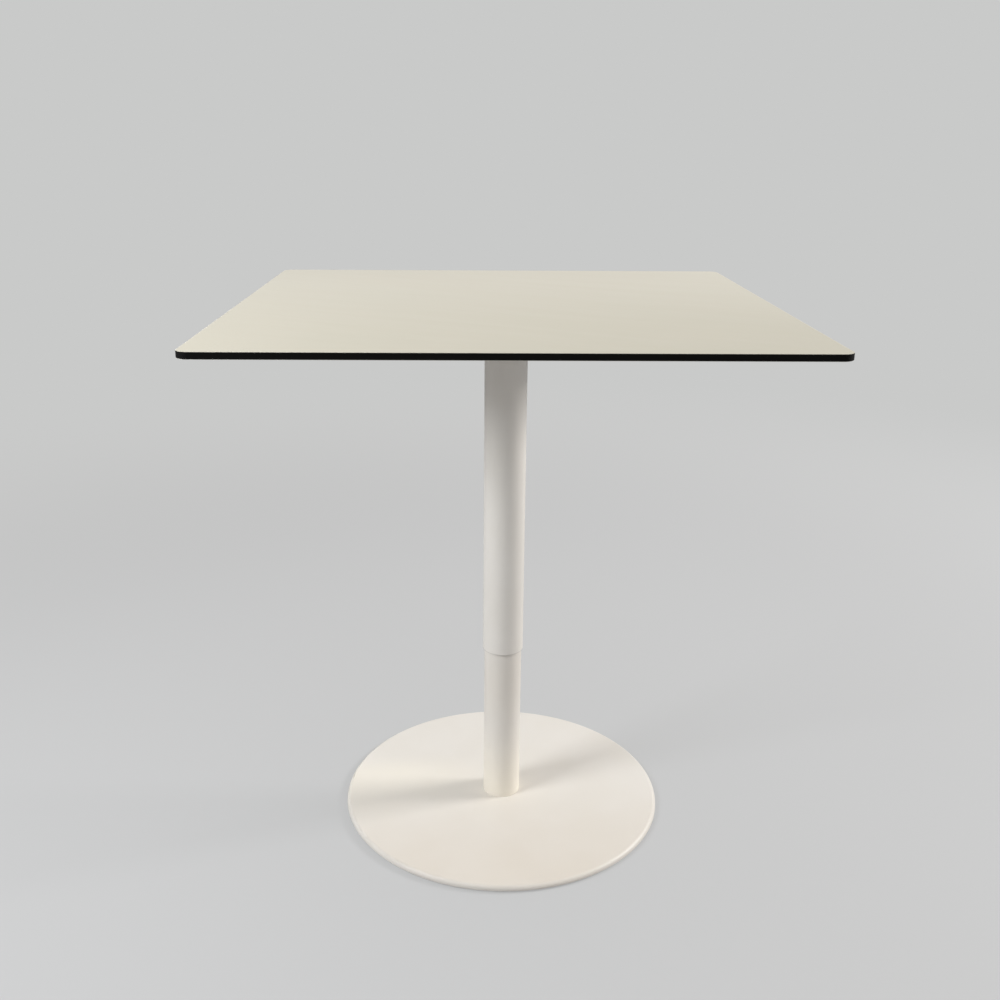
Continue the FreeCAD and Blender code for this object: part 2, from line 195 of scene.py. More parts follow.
def cream_laminate():
    """Matt decor sheet: pressed grain, faint clouds, a front darkened as painted shade, and wiping marks."""
    f = Finish("cream_laminate")
    low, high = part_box("table_face")
    # Painted shade: the board darkens from back to front
    hand_wear_and_shade = 1 - f.mask(f.along("Y"), low.y, high.y)
    clouds = f.mask(f.noise(5.0, 3.0), 0.35, 0.65)
    flecks = f.mask(f.noise(2600.0, 1.0), 0.40, 0.72)
    reach = f.node("ShaderNodeVectorMath", {"operation": "ABSOLUTE"}, {0: f.place})
    sides = f.node("ShaderNodeSeparateXYZ", {}, {"Vector": reach}, "X")
    ends = f.node("ShaderNodeSeparateXYZ", {}, {"Vector": reach}, "Y")
    outermost = sides.math("MAXIMUM", sides, ends)
    rim = f.mask(outermost, high.x - 2.2 * mm, high.x - 0.2 * mm)
    tint = f.blend(hand_wear_and_shade, cream, cream_front_shade)
    tint = f.blend(clouds * 0.18, tint, cream_warm)
    tint = f.blend(flecks * 0.10, tint, cream_worn)
    tint = f.blend(rim * f.noise(60.0) * 0.8, tint, cream_worn)
    wiping = f.mask(f.noise(1.0, 3.0, f.stretched((3.0, 26.0, 1.0), 0.5)), 0.42, 0.66)
    scratches = f.mask(f.noise(1.0, 1.0, f.stretched((9.0, 1500.0, 1.0), -0.35)), 0.70, 0.78)
    grain = f.noise(1700.0, 2.0)
    return f.surface({
        "Base Color": tint,
        "Roughness": 0.50 + 0.06 * wiping - 0.07 * scratches - 0.05 * rim,
        "Specular IOR Level": 0.45,
        "Normal": f.relief(grain, 0.012 * mm),
    })


def black_core():
    """The board's pressed-paper core: fine layers along the edge, and arrises that are rubbed paler."""
    f = Finish("black_core")
    low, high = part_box("table_core")
    height = f.along("Z")
    layers = f.noise(1.0, 3.0, f.stretched((6.0, 6.0, 5200.0)))
    sanding = f.noise(1.0, 2.0, f.stretched((90.0, 90.0, 2600.0)))
    upper = f.mask(height, high.z - 0.5 * mm, high.z - 0.1 * mm)
    lower = 1 - f.mask(height, low.z + 0.1 * mm, low.z + 0.5 * mm)
    arris = (upper + lower) * (0.35 + 0.65 * f.noise(45.0, 3.0))
    tint = f.blend(f.mask(layers, 0.40, 0.66), core_black, core_brown)
    tint = f.blend(arris * 0.7, tint, core_worn)
    return f.surface({
        "Base Color": tint,
        "Roughness": 0.56 + 0.12 * sanding - 0.06 * arris,
        "Specular IOR Level": 0.10,
        "Normal": f.relief(layers, 0.006 * mm),
    })


def powder_coat(name, scuffs_and_shade, dust_and_shade, painted_light=None):
    """Powder coat: orange peel, clouds and specks, then the piece's dust with painted shade, its paler
    patches of painted light, and its scuff marks with painted shade.
    """
    f = Finish(name)
    peel = f.noise(520.0, 2.0)
    specks = f.mask(f.cells(420.0), 0.0, 0.05)
    clouds = f.mask(f.noise(11.0, 3.0), 0.34, 0.68)
    tint = f.blend(clouds * 0.45, coat_white, coat_warm)
    tint = f.blend((1 - specks) * 0.10, tint, coat_scuff_and_shade)
    # Dust, which on the base also carries painted shade
    tint = f.blend(dust_and_shade(f) * (0.7 + 0.6 * f.noise(6.0, 4.0)), tint, coat_dust)
    # Painted light: paler patches where more light falls
    if painted_light:
        tint = f.blend(painted_light(f), tint, coat_painted_light)
    # Scuff marks, and on the upper tube a painted shade line at its mouth
    worn_and_shaded = scuffs_and_shade(f)
    return f.surface({
        "Base Color": f.blend(worn_and_shaded, tint, coat_scuff_and_shade),
        "Roughness": 0.40 + 0.10 * f.noise(85.0, 3.0) + 0.12 * worn_and_shaded,
        "Specular IOR Level": 0.5,
        "Normal": f.relief(peel, 0.035 * mm),
    })


def dust_and_front_shade(f):
    """Dust over the base, darker towards the front as painted shade, and thinner on the rounded rim, whose
    paler tone is partly a painted highlight.
    """
    low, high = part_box("base_plate")
    # Painted shade with dust: darker towards the front
    front = 1 - f.mask(f.along("Y"), low.y, high.y * 0.2)
    # Less dust on the rim, partly a painted highlight
    rounded = f.mask(f.from_axis(), high.x - base_rim, high.x - base_rim / 4)
    return (0.06 + 0.30 * front) * (1 - 0.4 * rounded)


def painted_light_left(f):
    """Painted light: a paler patch on the left of the base beside the column."""
    low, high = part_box("base_plate")
    left = 1 - f.mask(f.along("X"), low.x * 0.7, high.x * 0.1)
    depth = f.along("Y")
    beside = f.mask(depth, low.y * 0.4, high.y * 0.1) - f.mask(depth, high.y * 0.15, high.y * 0.42)
    return 0.6 * left * beside


def light_dust(f):
    return 0.03 + 0.02 * f.noise(14.0)


def greasy_dust(f):
    """Dust on the film of grease below the guide bush. The tube above that is sheltered at rest."""
    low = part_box("lower_tube")[0].z
    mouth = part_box("guide_bush")[0].z
    height = f.along("Z")
    greased = f.mask(height, low + 40 * mm, mouth - 30 * mm)
    sheltered = f.mask(height, mouth + 5 * mm, mouth + 60 * mm)
    return 0.02 + 0.14 * greased * (1 - sheltered)


def painted_light_foot(f):
    """Painted light: the foot of the lower tube made paler."""
    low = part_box("lower_tube")[0].z
    # Painted light, fading out 130 mm above the foot
    return 0.95 * (1 - f.mask(f.along("Z"), low, low + 130 * mm))


def base_scuffs(f):
    """Shoe marks near the base's rim, and dust at the column's foot."""
    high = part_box("base_plate")[1]
    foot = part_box("lower_tube")[1].x
    out = f.from_axis()
    dust = 1 - f.mask(out, foot, foot + 9 * mm)
    tread = f.mask(out, high.x - 95 * mm, high.x - 15 * mm)
    strokes = f.mask(f.noise(1.0, 2.0, f.stretched((16.0, 330.0, 1.0), 0.9)), 0.66, 0.80)
    patches = f.mask(f.noise(13.0, 2.0), 0.52, 0.66)
    return 0.16 * tread * strokes * patches + 0.04 * dust * f.noise(120.0, 3.0)


def sliding_scuffs(f):
    """Fine upright rubbing marks where the guide bush runs on the lower tube, and dust at its foot."""
    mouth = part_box("guide_bush")[0].z
    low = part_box("lower_tube")[0].z
    height = f.along("Z")
    rubbed = f.mask(height, mouth - 35 * mm, mouth + 10 * mm)
    strokes = f.mask(f.noise(1.0, 2.0, f.stretched((420.0, 420.0, 7.0))), 0.58, 0.74)
    dust = 1 - f.mask(height, low, low + 7 * mm)
    return 0.14 * rubbed * strokes + 0.03 * dust


def column_scuffs_and_shade(f):
    """Light handling marks on the upper tube, and a painted shade line along the edge of its mouth."""
    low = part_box("upper_tube")[0].z
    # Painted shade: a dark line at the mouth, where the step to the lower tube is shaded
    mouth = 1 - f.mask(f.along("Z"), low + 0.4 * mm, low + 1.5 * mm)
    strokes = f.mask(f.noise(1.0, 2.0, f.stretched((150.0, 150.0, 14.0))), 0.68, 0.82)
    return 0.06 * strokes + mouth * (0.55 + 0.45 * f.noise(40.0))


def plate_scuffs(f):
    """Marks of the spanner round the screws of the top plate."""
    strokes = f.mask(f.noise(1.0, 2.0, f.stretched((60.0, 420.0, 60.0), 0.4)), 0.66, 0.80)
    return 0.10 * strokes * f.noise(24.0)


def plated_steel():
    """Zinc-plated steel with the blue and yellow bloom of passivation."""
    f = Finish("zinc_plate")
    bloom = f.mask(f.noise(55.0, 2.0), 0.30, 0.70)
    lines = f.noise(1.0, 2.0, f.stretched((900.0, 900.0, 5200.0)))
    dull = f.mask(f.noise(900.0, 4.0), 0.42, 0.74)
    tint = f.blend(bloom * 0.4, zinc_blue, zinc_yellow)
    return f.surface({
        "Base Color": f.blend(dull * 0.14, tint, zinc_dull),
        "Metallic": 1.0,
        "Roughness": 0.27 + 0.12 * lines + 0.12 * dull,
        "Normal": f.relief(lines, 0.004 * mm),
    })


def turned_brass():
    f = Finish("turned_brass")
    lines = f.noise(1.0, 2.0, f.stretched((60.0, 60.0, 4200.0)))
    tarnish = f.mask(f.noise(190.0, 3.0), 0.45, 0.68)
    return f.surface({
        "Base Color": f.blend(tarnish * 0.8, brass_bright, brass_dull),
        "Metallic": 1.0,
        "Roughness": 0.24 + 0.16 * lines + 0.14 * tarnish,
        "Normal": f.relief(lines, 0.006 * mm),
    })


def cast_aluminium():
    """Die-cast aluminium: a pale skin with flow marks and a fine grit."""
    f = Finish("cast_aluminium")
    flow = f.mask(f.noise(1.0, 3.0, f.stretched((60.0, 60.0, 22.0))), 0.38, 0.66)
    grit = f.noise(1500.0, 2.0)
    return f.surface({
        "Base Color": f.blend(flow * 0.7, cast_pale, cast_dark),
        "Metallic": 1.0,
        "Roughness": 0.40 + 0.14 * flow + 0.08 * grit,
        "Normal": f.relief(grit, 0.02 * mm),
    })


def moulded_handle():
    """Black moulded plastic with a spark-eroded grain, polished by hands towards its tip."""
    f = Finish("moulded_handle")
    low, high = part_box("lever_handle")
    grain = f.cells(1500.0)
    hand_wear_and_shade = f.mask(f.along("X"), low.x + 25 * mm, high.x - 20 * mm) * (0.4 + 0.6 * f.noise(70.0, 3.0))
    return f.surface({
        "Base Color": f.blend(hand_wear_and_shade * 0.35, plastic_black, plastic_rubbed),
        "Roughness": 0.56 - 0.16 * hand_wear_and_shade + 0.10 * f.noise(900.0, 1.0),
        "Specular IOR Level": 0.5,
        "Normal": f.relief(grain, 0.03 * mm),
    })


def machined_acetal():
    """Black bearing plastic with the fine rings that turning leaves."""
    f = Finish("machined_acetal")
    rings = f.noise(1.0, 1.0, f.stretched((30.0, 30.0, 3600.0)))
    dust = f.mask(f.noise(130.0, 3.0), 0.50, 0.72)
    return f.surface({
        "Base Color": f.blend(dust * 0.5, acetal_black, acetal_swarf),
        "Roughness": 0.34 + 0.14 * rings + 0.12 * dust,
        "Normal": f.relief(rings, 0.01 * mm),
    })


def pressed_felt():
    """Dark pressed felt of the glides: matted fibres with paler ones among them."""
    f = Finish("pressed_felt")
    fibres = f.noise(1.0, 4.0, f.stretched((900.0, 2300.0, 1500.0), 0.7))
    crossing = f.noise(1.0, 4.0, f.stretched((2400.0, 800.0, 1500.0), -0.4))
    pale = f.mask(fibres * crossing, 0.26, 0.38)
    return f.surface({
        "Base Color": f.blend(pale * 0.8, felt_dark, felt_pale),
        "Roughness": 0.86 + 0.10 * fibres,
        "Sheen Weight": 0.25,
        "Normal": f.relief(fibres + crossing, 0.05 * mm),
    })


def black_rubber():
    f = Finish("black_rubber")
    bloom = f.mask(f.noise(90.0, 4.0), 0.42, 0.70)
    skin = f.noise(1100.0, 2.0)
    return f.surface({
        "Base Color": f.blend(bloom * 0.6, rubber_black, rubber_bloom),
        "Roughness": 0.66 + 0.14 * bloom + 0.06 * skin,
        "Normal": f.relief(skin, 0.02 * mm),
    })


def black_enamel():
    """Gloss stove enamel on the gas spring's cylinder, with dust lying on it."""
    f = Finish("black_enamel")
    dust = f.mask(f.noise(160.0, 4.0), 0.50, 0.74)
    waves = f.noise(240.0, 1.0)
    return f.surface({
        "Base Color": f.blend(dust * 0.6, enamel_black, enamel_dust),
        "Roughness": 0.18 + 0.25 * dust,
        "Coat Weight": 0.4 - 0.3 * dust,
        "Normal": f.relief(waves, 0.015 * mm),
    })


def hard_chrome():
    """Ground and plated rod, with an oil film that clouds the gloss."""
    f = Finish("hard_chrome")
    film = f.mask(f.noise(55.0, 3.0), 0.40, 0.68)
    lines = f.noise(1.0, 1.0, f.stretched((500.0, 500.0, 6500.0)))
    return f.surface({
        "Base Color": f.blend(film * 0.6, chrome_bright, chrome_oiled),
        "Metallic": 1.0,
        "Roughness": 0.07 + 0.09 * film + 0.04 * lines,
        "Normal": f.relief(lines, 0.001 * mm),
    })


laminate = cream_laminate()
core = black_core()
base_coat = powder_coat("base_coat", base_scuffs, dust_and_front_shade, painted_light_left)
foot_coat = powder_coat("lower_tube_coat", sliding_scuffs, greasy_dust, painted_light_foot)
column_coat = powder_coat("upper_tube_coat", column_scuffs_and_shade, light_dust)
plate_coat = powder_coat("top_plate_coat", plate_scuffs, light_dust)
zinc = plated_steel()
brass = turned_brass()
casting = cast_aluminium()
grip_plastic = moulded_handle()
acetal = machined_acetal()
felt = pressed_felt()
rubber = black_rubber()
enamel = black_enamel()
chrome = hard_chrome()


# Mesh making

# Points nearer to each other than this are one point
same_point = 1e-7

# Edges that bend by more than this are shaded sharp
sharp_angle = math.radians(32)


def through_loops(loops, closed=False):
    """A mesh skinned over loops of points of one count. Open skins are capped, closed ones join up."""
    build = bmesh.new()
    rows = [[build.verts.new(p) for p in loop] for loop in loops]
    pairs = list(zip(rows, rows[1:]))
    if closed:
        pairs.append((rows[-1], rows[0]))
    for near, far in pairs:
        for i in range(len(near)):
            j = (i + 1) % len(near)
            build.faces.new((near[i], near[j], far[j], far[i]))
    if not closed:
        build.faces.new(reversed(rows[0]))
        build.faces.new(rows[-1])
    bmesh.ops.remove_doubles(build, verts=build.verts, dist=same_point)
    bmesh.ops.recalc_face_normals(build, faces=build.faces)
    mesh = bpy.data.meshes.new("shape")
    build.to_mesh(mesh)
    build.free()
    return mesh


def ring_places(radius, count):
    """Evenly spaced (x, y) places on a circle about the column's axis."""
    turns = [2 * math.pi * i / count for i in range(count)]
    return [(radius * math.cos(t), radius * math.sin(t)) for t in turns]


def quarter_turn(steps):
    """Angles from zero to a right angle."""
    return [math.pi / 2 * i / steps for i in range(steps + 1)]


def circle(radius, height, steps):
    """A loop of points about the column's axis."""
    return [Vector((x, y, height)) for x, y in ring_places(radius, steps)]


def turned(profile, steps, closed=False):
    """A turned shape from (radius, height) points: a ring if closed, or solid between its end discs."""
    return through_loops([circle(r, z, steps) for r, z in profile], closed)


def moved(mesh, x, y, z=0.0):
    mesh.transform(Matrix.Translation((x, y, z)))
    return mesh


def laid_along_y(mesh):
    """Turns an upright shape so that its axis lies along Y."""
    mesh.transform(Matrix.Rotation(math.radians(-90), 4, "X"))
    return mesh


def cross_bar(radius, half_length, steps):
    """A plain bar along Y, used as a cutter for a cross hole."""
    return laid_along_y(turned([(radius, -half_length), (radius, half_length)], steps))


def block(low, high):
    """A plain box between two corners, for cutters and the floor."""
    left, front, bottom = low
    right, back, top = high
    corners = [(left, front), (right, front), (right, back), (left, back)]
    return through_loops([[Vector((x, y, z)) for x, y in corners] for z in (bottom, top)])


def cut_with(mesh, cutters):
    """The mesh with each cutter's shape taken out of it."""
    for cutter in cutters:
        whole = bpy.data.objects.new("whole", mesh)
        tool = bpy.data.objects.new("tool", cutter)
        for thing in (whole, tool):
            bpy.context.scene.collection.objects.link(thing)
        cut = whole.modifiers.new("cut", "BOOLEAN")
        cut.object = tool
        cut.solver = "EXACT"
        seen = bpy.context.evaluated_depsgraph_get()
        mesh = bpy.data.meshes.new_from_object(whole.evaluated_get(seen))
        for thing in (whole, tool):
            bpy.data.objects.remove(thing)
    return mesh


def rounded_outline(corners, inset, steps):
    """Points round a closed outline of (x, y, radius) corners, drawn in by inset, with arcs as corners."""
    count = len(corners)
    points = []
    for i, (x, y, radius) in enumerate(corners):
        here = Vector((x, y))
        arriving = (here - Vector(corners[i - 1][:2])).normalized()
        leaving = (Vector(corners[(i + 1) % count][:2]) - here).normalized()
        turn = math.atan2(arriving.cross(leaving), arriving.dot(leaving))
        inward = (Vector((-arriving.y, arriving.x)) + Vector((-leaving.y, leaving.x))).normalized()
        corner = here + inward * (inset / math.cos(turn / 2))
        bend = max(radius - inset, 0.0) if turn > 0 else radius + inset * (radius > 0)
        reach = bend * math.tan(abs(turn) / 2)
        start = corner - arriving * reach
        side = math.copysign(1.0, turn)
        centre = start + Vector((-arriving.y, arriving.x)) * (side * bend)
        for step in range(steps + 1):
            angle = turn * step / steps
            spoke = start - centre
            spoke.rotate(Matrix.Rotation(angle, 2))
            points.append(centre + spoke)
    return points


def arris_profile(low, high, arris, steps):
    """(inset, height) pairs of an edge whose two arrises are rounded."""
    bend = quarter_turn(steps)
    lower = [(arris * (1 - math.sin(a)), low + arris * (1 - math.cos(a))) for a in bend]
    upper = [(inset, low + high - height) for inset, height in reversed(lower)]
    return lower + upper


def slab(corners, low, high, arris, corner_steps, arris_steps=4):
    """A flat piece with the given outline and rounded arrises."""
    loops = []
    for inset, height in arris_profile(low, high, arris, arris_steps):
        outline = rounded_outline(corners, inset, corner_steps)
        loops.append([Vector((p.x, p.y, height)) for p in outline])
    return through_loops(loops)


def square(side, radius):
    half = side / 2
    return [(-half, -half, radius), (half, -half, radius), (half, half, radius), (-half, half, radius)]


def add_piece(name, mesh, body, slot, finish, *nodes):
    """Shows a mesh as a piece that rides a body, takes the given finish and stands for the frame's solids.
    The slot is not used.
    """
    mesh.materials.clear()
    mesh.materials.append(finish)
    mesh.name = name
    mesh.shade_smooth()
    mesh.set_sharp_from_angle(angle=sharp_angle)
    piece = bpy.data.objects.new(name, mesh)
    bpy.context.scene.collection.objects.link(piece)
    even = piece.modifiers.new("even", "WEIGHTED_NORMAL")
    even.keep_sharp = True
    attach(piece, body)
    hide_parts(*nodes)


# Board

core_low, core_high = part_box("table_core")
face_low, face_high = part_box("table_face")
back_low, back_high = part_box("table_backing")
insert_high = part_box("threaded_inserts")[1]
board_side = core_high.x - core_low.x
board_corner = 15 * mm
sheet_side = face_high.x - face_low.x
sheet_corner = board_corner - (board_side - sheet_side) / 2
core_arris = 0.3 * mm
sheet_arris = 0.12 * mm
board_corner_steps = 24
insert_radius = 4 * mm
screw_pitch = insert_high.x - insert_radius
screw_places = [(sx * screw_pitch, sy * screw_pitch) for sx in (-1, 1) for sy in (-1, 1)]
hole_steps = 48


def holes(radius, low, high, places):
    """Upright cutters at several places."""
    return [moved(turned([(radius, low), (radius, high)], hole_steps), x, y) for x, y in places]


def decor_sheet(low, high):
    """A thin sheet between two heights, as wide as the flat of the board's face."""
    outline = square(sheet_side, sheet_corner)
    return slab(outline, low, high, sheet_arris, board_corner_steps, arris_steps=3)


def make_board():
    seat = insert_radius + fit
    body = slab(square(board_side, board_corner), core_low.z, core_high.z, core_arris, board_corner_steps)
    body = cut_with(body, holes(seat, core_low.z - past, insert_high.z, screw_places))
    add_piece("board_core", body, "tabletop", "laminate_core", core, "table_core")
    face = decor_sheet(face_low.z, face_high.z)
    add_piece("board_face", face, "tabletop", "laminate_face", laminate, "table_face")
    back = decor_sheet(back_low.z, back_high.z)
    back = cut_with(back, holes(seat, back_low.z - past, back_high.z + past, screw_places))
    add_piece("board_backing", back, "tabletop", "laminate_face", laminate, "table_backing")


# Top plate and screws

plate_low, plate_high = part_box("top_plate")
plate_corner = 20 * mm
plate_arris = 0.7 * mm
plate_hole = 3.3 * mm
screw_low, screw_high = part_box("plate_screws")
head_width = 10 * mm
screw_turn = 0.37


def make_top_plate():
    side = plate_high.x - plate_low.x
    outline = square(side, plate_corner)
    plate = slab(outline, plate_low.z, plate_high.z, plate_arris, corner_steps=20)
    plate = cut_with(plate, holes(plate_hole, plate_low.z - past, plate_high.z + past, screw_places))
    add_piece("top_plate_steel", plate, "tabletop", "powder_coat", plate_coat, "top_plate")


def hexagon_radius(width, turn):
    """How far a hexagon of that width across flats reaches at an angle."""
    sixth = math.pi / 3
    return width / 2 / math.cos((turn % sixth) - sixth / 2)


def hexagon_screw():
    """A hexagon-head screw from below: dished and chamfered crown, flats, washer face and plain shank."""
    steps = 72
    crown = head_width / 2 * 0.95
    dish_floor = crown * 0.80
    dish_edge = crown * 0.88
    dish_depth = 0.25 * mm
    chamfer_slope = math.tan(math.radians(30))
    washer = 0.4 * mm
    shank = 3 * mm
    tip = 0.5 * mm
    under = screw_low.z
    flat = plate_low.z - washer
    turns = [2 * math.pi * i / steps for i in range(steps)]
    reach = [hexagon_radius(head_width, t) for t in turns]

    def hexagon(heights):
        return [Vector((r * math.cos(t), r * math.sin(t), h)) for r, t, h in zip(reach, turns, heights)]

    return through_loops([
        circle(dish_floor, under + dish_depth, steps),
        circle(dish_edge, under, steps),
        circle(crown, under, steps),
        hexagon([under + (r - crown) * chamfer_slope for r in reach]),
        hexagon([flat] * steps),
        circle(crown, flat, steps),
        circle(crown, plate_low.z, steps),
        circle(shank, plate_low.z, steps),
        circle(shank, screw_high.z - tip, steps),
        circle(shank - tip, screw_high.z, steps),
    ])


def make_plate_screws():
    """The four screws, each left at its own angle."""
    for number, (x, y) in enumerate(screw_places, 1):
        screw = hexagon_screw()
        screw.transform(Matrix.Rotation(screw_turn * number, 4, "Z"))
        screw = moved(screw, x, y)
        add_piece(f"plate_screw_{number}", screw, "tabletop", "zinc_steel", zinc, "plate_screws")


# Column

upper_low, upper_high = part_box("upper_tube")
lower_low, lower_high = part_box("lower_tube")
bush_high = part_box("guide_bush")[1]
pivot_low, pivot_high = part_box("lever_pivot_pin")
head_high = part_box("release_head")[1]
lower_radius = lower_high.x
lower_wall = 2 * mm
tube_gap = 0.5 * mm
upper_wall = 1.5 * mm
bush_recess = 0.5 * mm
upper_inner = lower_radius + tube_gap
upper_radius = upper_inner + upper_wall
bush_seat = upper_inner + bush_recess
pivot_x = (pivot_low.x + pivot_high.x) / 2
pivot_z = (pivot_low.z + pivot_high.z) / 2
pivot_radius = (pivot_high.x - pivot_low.x) / 2
notch_half = 4.3 * mm
notch_depth = 26 * mm
notch_floor = head_high.z - notch_depth
column_steps = 128
pin_steps = 40
cross_hole_steps = 30


def pivot_cutter():
    """The hole for the pivot pin, through the tube and the lever's arm."""
    return moved(cross_bar(pivot_radius + fit, upper_radius, pin_steps), pivot_x, 0, pivot_z)


def make_upper_tube():
    """The upper tube with its eased mouth, the seat of the guide bush and the lever's notch."""
    rim = 0.4 * mm
    eased = rim * 0.3
    tube = turned([
        (bush_seat, upper_low.z),
        (upper_radius - rim, upper_low.z),
        (upper_radius - eased, upper_low.z + eased),
        (upper_radius, upper_low.z + rim),
        (upper_radius, upper_high.z),
        (upper_inner, upper_high.z),
        (upper_inner, bush_high.z),
        (bush_seat, bush_high.z),
    ], column_steps, closed=True)
    notch = block((0, -notch_half, notch_floor), (upper_radius + past, notch_half, upper_high.z + past))
    tube = cut_with(tube, [notch, pivot_cutter()])
    add_piece("upper_tube_steel", tube, "tabletop", "powder_coat", column_coat, "upper_tube")


def make_column_weld():
    """The rippled fillet weld between the upper tube and the top plate, stopping at the lever's notch."""
    leg = 2.65 * mm
    ripple = 0.32 * mm
    ripples = 76
    root = 0.1 * mm
    notch_room = 1.2 * mm
    end_taper = 1.8 * mm
    end_size = 0.05
    bulge = 0.16
    count = 360
    gap = math.asin((notch_half + notch_room) / upper_radius)
    loops = []
    for step in range(count + 1):
        share = step / count
        turn = gap + (2 * math.pi - 2 * gap) * share
        from_end = min(share, 1 - share) * 2 * math.pi * upper_radius / end_taper
        size = leg + ripple * math.sin(2 * math.pi * ripples * share)
        size *= math.sqrt(min(1.0, end_size + from_end))
        section = [(upper_radius - root, upper_high.z), (upper_radius - root, upper_high.z - size)]
        for a in quarter_turn(6):
            reach = size * (1 - bulge * math.sin(2 * a))
            out = reach * (1 - math.cos(a))
            down = reach * (1 - math.sin(a))
            section.append((upper_radius + out, upper_high.z - down))
        loops.append([Vector((r * math.cos(turn), r * math.sin(turn), z)) for r, z in section])
    add_piece("column_weld", through_loops(loops), "tabletop", "powder_coat", column_coat, "upper_tube")


def make_lower_tube():
    """The lower tube, with the cross hole for the set screws of the guide cap."""
    screws_low, screws_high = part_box("cap_screws")
    screw_height = (screws_low.z + screws_high.z) / 2
    screw_radius = 2 * mm
    foot = 0.15 * mm
    tube = turned([
        (lower_radius - lower_wall, lower_low.z),
        (lower_radius - foot, lower_low.z),
        (lower_radius, lower_low.z + foot),
        (lower_radius, lower_high.z),
        (lower_radius - lower_wall, lower_high.z),
    ], column_steps, closed=True)
    bar = cross_bar(screw_radius + fit, 2 * lower_radius, cross_hole_steps)
    tube = cut_with(tube, [moved(bar, 0, 0, screw_height)])
    add_piece("lower_tube_steel", tube, "pedestal", "powder_coat", foot_coat, "lower_tube")


# Base

base_low, base_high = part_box("base_plate")
foot_low, foot_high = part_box("foot_screws")
glide_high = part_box("base_glides")[1]
base_radius = base_high.x
foot_edge = 7 * mm
foot_places = ring_places(lower_radius - lower_wall - foot_edge, count=3)
glide_radius = 12.5 * mm
glide_places = ring_places(glide_high.x - glide_radius, count=5)
base_steps = 288
glide_steps = 64


def make_base_plate():
    """The base plate with its rounded rim and the countersunk holes under the column."""
    under = 1.2 * mm
    wide = 8.3 * mm
    narrow = 4.3 * mm
    profile = [(base_radius - under, base_low.z), (base_radius, base_low.z + under)]
    for a in quarter_turn(10):
        inward = base_rim * (1 - math.cos(a))
        down = base_rim * (1 - math.sin(a))
        profile.append((base_radius - inward, base_high.z - down))
    profile.append((lower_radius, base_high.z))
    plate = turned(profile, base_steps)
    sink = [
        (wide + past, base_low.z - past),
        (narrow, base_low.z + wide - narrow),
        (narrow, base_high.z + past),
    ]
    plate = cut_with(plate, [moved(turned(sink, hole_steps), x, y) for x, y in foot_places])
    add_piece("base_plate_steel", plate, "pedestal", "powder_coat", base_coat, "base_plate")


def make_foot_screws():
    """Countersunk screws with a hexagon socket, each left at its own angle."""
    head = 8 * mm
    shank = 4 * mm
    tip = 0.8 * mm
    land = 0.3 * mm
    socket = 5 * mm
    socket_depth = 3 * mm
    socket_turn = 0.3
    socket_sides = 6
    neck = foot_low.z + head - shank
    key_radius = socket / math.sqrt(3)
    for number, (x, y) in enumerate(foot_places, 1):
        screw = turned([
            (0, foot_low.z),
            (head - land, foot_low.z),
            (head, foot_low.z + land),
            (shank, neck),
            (shank, foot_high.z - tip),
            (shank - tip, foot_high.z),
            (0, foot_high.z),
        ], hole_steps)
        key_profile = [(key_radius, foot_low.z - land), (key_radius, foot_low.z + socket_depth)]
        key = turned(key_profile, socket_sides)
        key.transform(Matrix.Rotation(socket_turn * number, 4, "Z"))
        screw = cut_with(screw, [key])
        add_piece(f"foot_screw_{number}", moved(screw, x, y), "pedestal", "zinc_steel", zinc, "foot_screws")


def make_glides():
    """Felt discs with a soft lower edge."""
    soft = 0.6 * mm
    lower = [(glide_radius - soft * (1 - math.sin(a)), soft * (1 - math.cos(a))) for a in quarter_turn(5)]
    for number, (x, y) in enumerate(glide_places, 1):
        disc = turned([(0, 0)] + lower + [(glide_radius, glide_high.z), (0, glide_high.z)], glide_steps)
        add_piece(f"glide_{number}", moved(disc, x, y), "pedestal", "glide_plastic", felt, "base_glides")


# Release lever

arm_low, arm_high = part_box("lever_arm")
grip_low, grip_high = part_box("lever_handle")
grip_pin_low, grip_pin_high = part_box("handle_pin")
grip_middle = (grip_low.z + grip_high.z) / 2
arm_half = 6 * mm
arm_side = 3 * mm
arm_arris = 0.5 * mm
arm_straight = 9 * mm
tongue_half = 4 * mm
bend_start = upper_radius + arm_straight
bend_run = 24 * mm
bend_drop = pivot_z - grip_middle
bend_radius = 14 * mm
shoulder = grip_low.x


def make_lever_arm():
    """The bent flat arm, drawn from the side with its heights as the outline's second axis."""
    slope = math.atan2(bend_drop, bend_run)
    shift = arm_half * math.tan(slope / 2)
    tight = bend_radius - arm_half
    wide = bend_radius + arm_half
    bend_end = bend_start + bend_run
    side = [
        (arm_low.x, pivot_z - arm_half, arm_half),
        (bend_start - shift, pivot_z - arm_half, tight),
        (bend_end - shift, grip_middle - arm_half, wide),
        (shoulder, grip_middle - arm_half, 0),
        (shoulder, grip_middle - tongue_half, 0),
        (arm_high.x, grip_middle - tongue_half, tongue_half / 2),
        (arm_high.x, grip_middle + tongue_half, tongue_half / 2),
        (shoulder, grip_middle + tongue_half, 0),
        (shoulder, grip_middle + arm_half, 0),
        (bend_end + shift, grip_middle + arm_half, tight),
        (bend_start + shift, pivot_z + arm_half, wide),
        (arm_low.x, pivot_z + arm_half, arm_half / 2),
    ]
    arm = slab(side, -arm_side, arm_side, arm_arris, corner_steps=10, arris_steps=3)
    arm.transform(Matrix.Rotation(math.radians(90), 4, "X"))
    arm = cut_with(arm, [pivot_cutter()])
    add_piece("lever_arm_steel", arm, "lever", "zinc_steel", zinc, "lever_arm")


